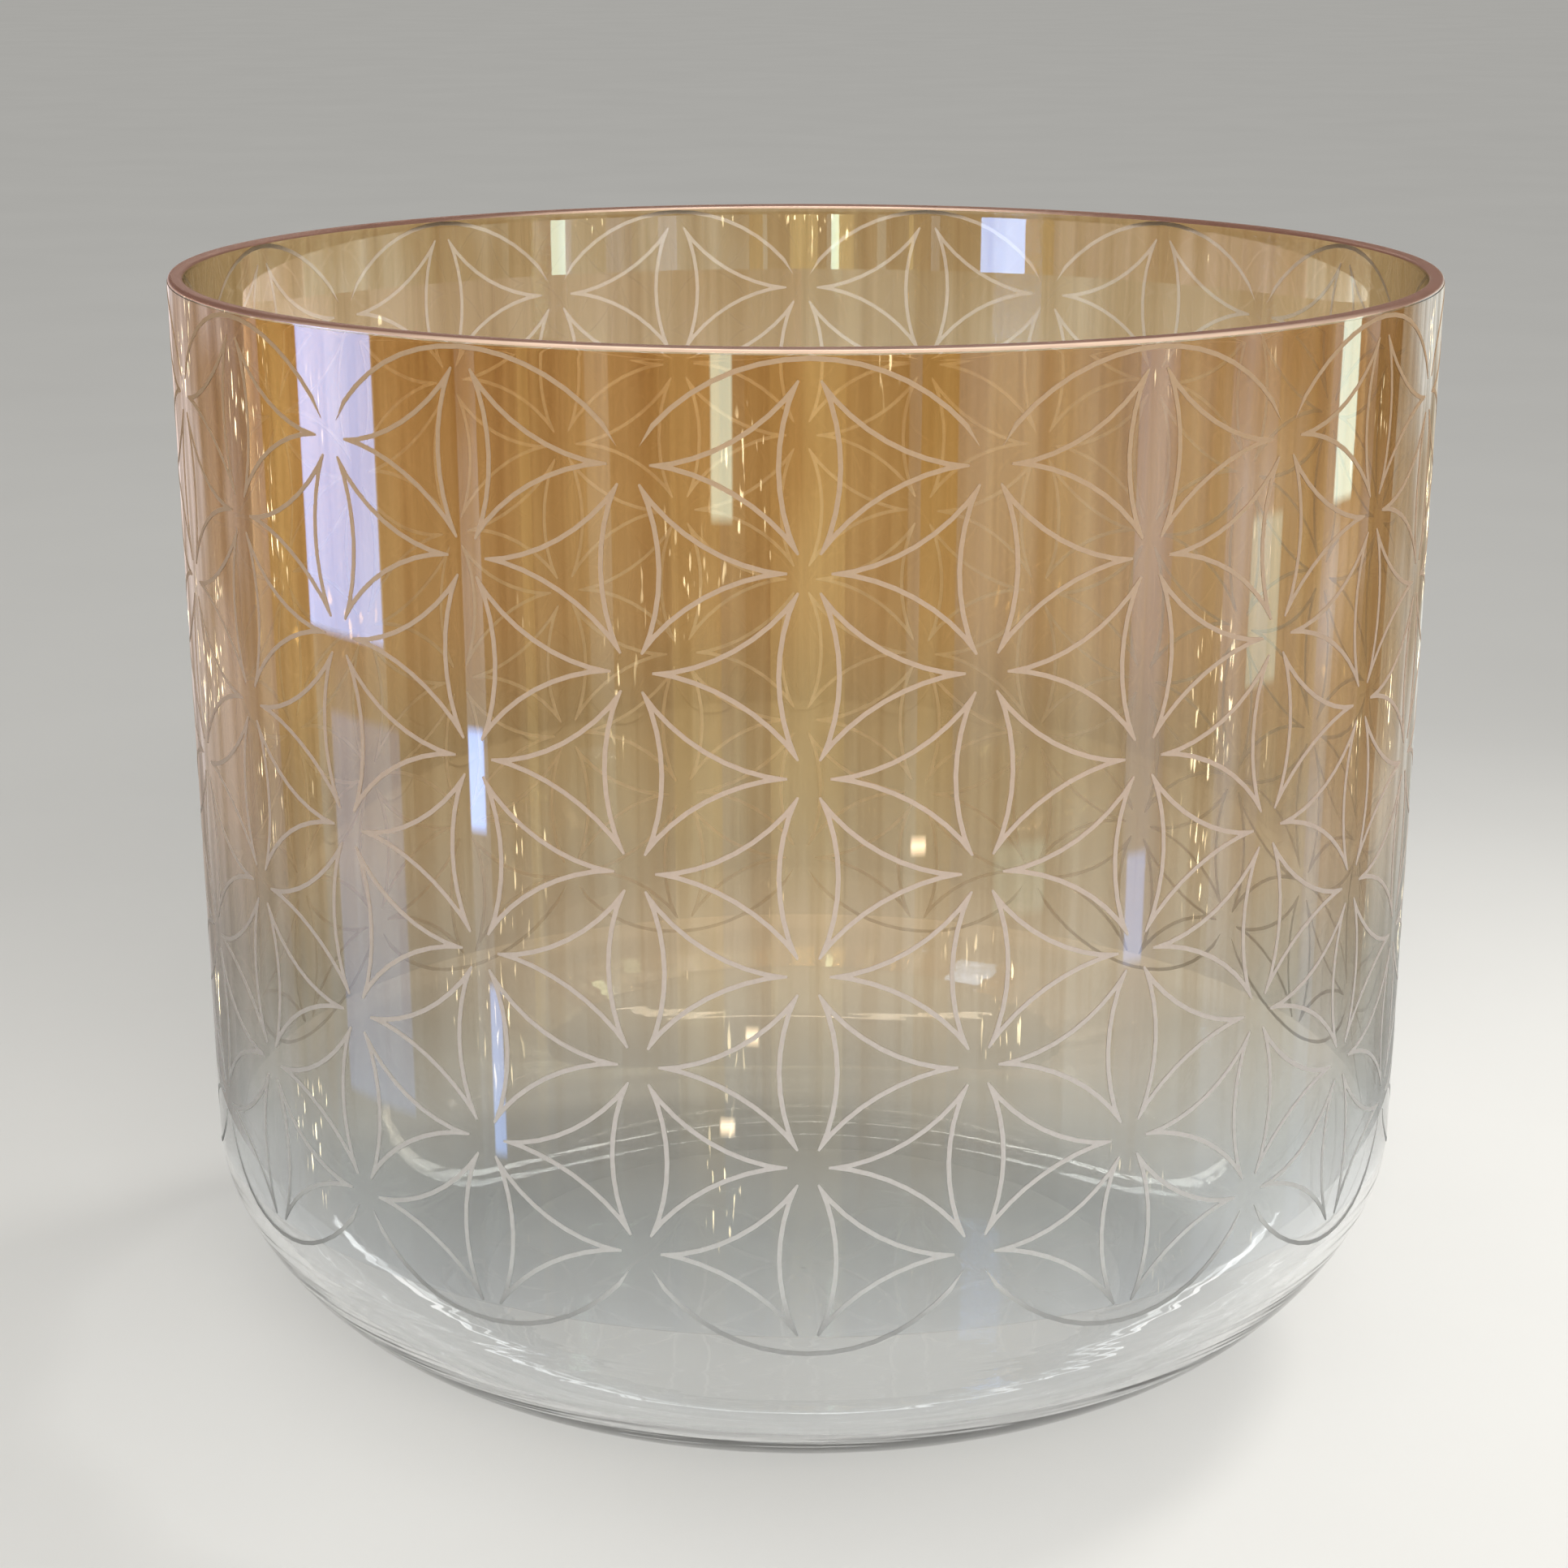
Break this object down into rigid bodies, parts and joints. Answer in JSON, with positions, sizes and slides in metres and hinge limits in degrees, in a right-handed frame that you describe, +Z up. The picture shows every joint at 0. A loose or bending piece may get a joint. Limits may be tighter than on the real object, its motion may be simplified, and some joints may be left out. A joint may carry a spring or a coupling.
{
  "type": "singing bowl",
  "caption": "Straight-walled clear quartz singing bowl with a rounded heel, flat base and thin polished rim, its wall coated with a fading gold film.",
  "frame": {"origin": "centre of the flat base", "axes": "+Z up along the bowl's axis, from base to rim"},
  "size_m": [0.2042, 0.2042, 0.178],
  "materials": {
    "clear_quartz": "clear fused quartz, fire polished",
    "gold_film": "see-through gold film, strongest at the rim"
  },
  "bodies": {
    "root": {"quartz_bowl": "clear_quartz", "gold_film": "gold_film"}
  },
  "joints": []
}
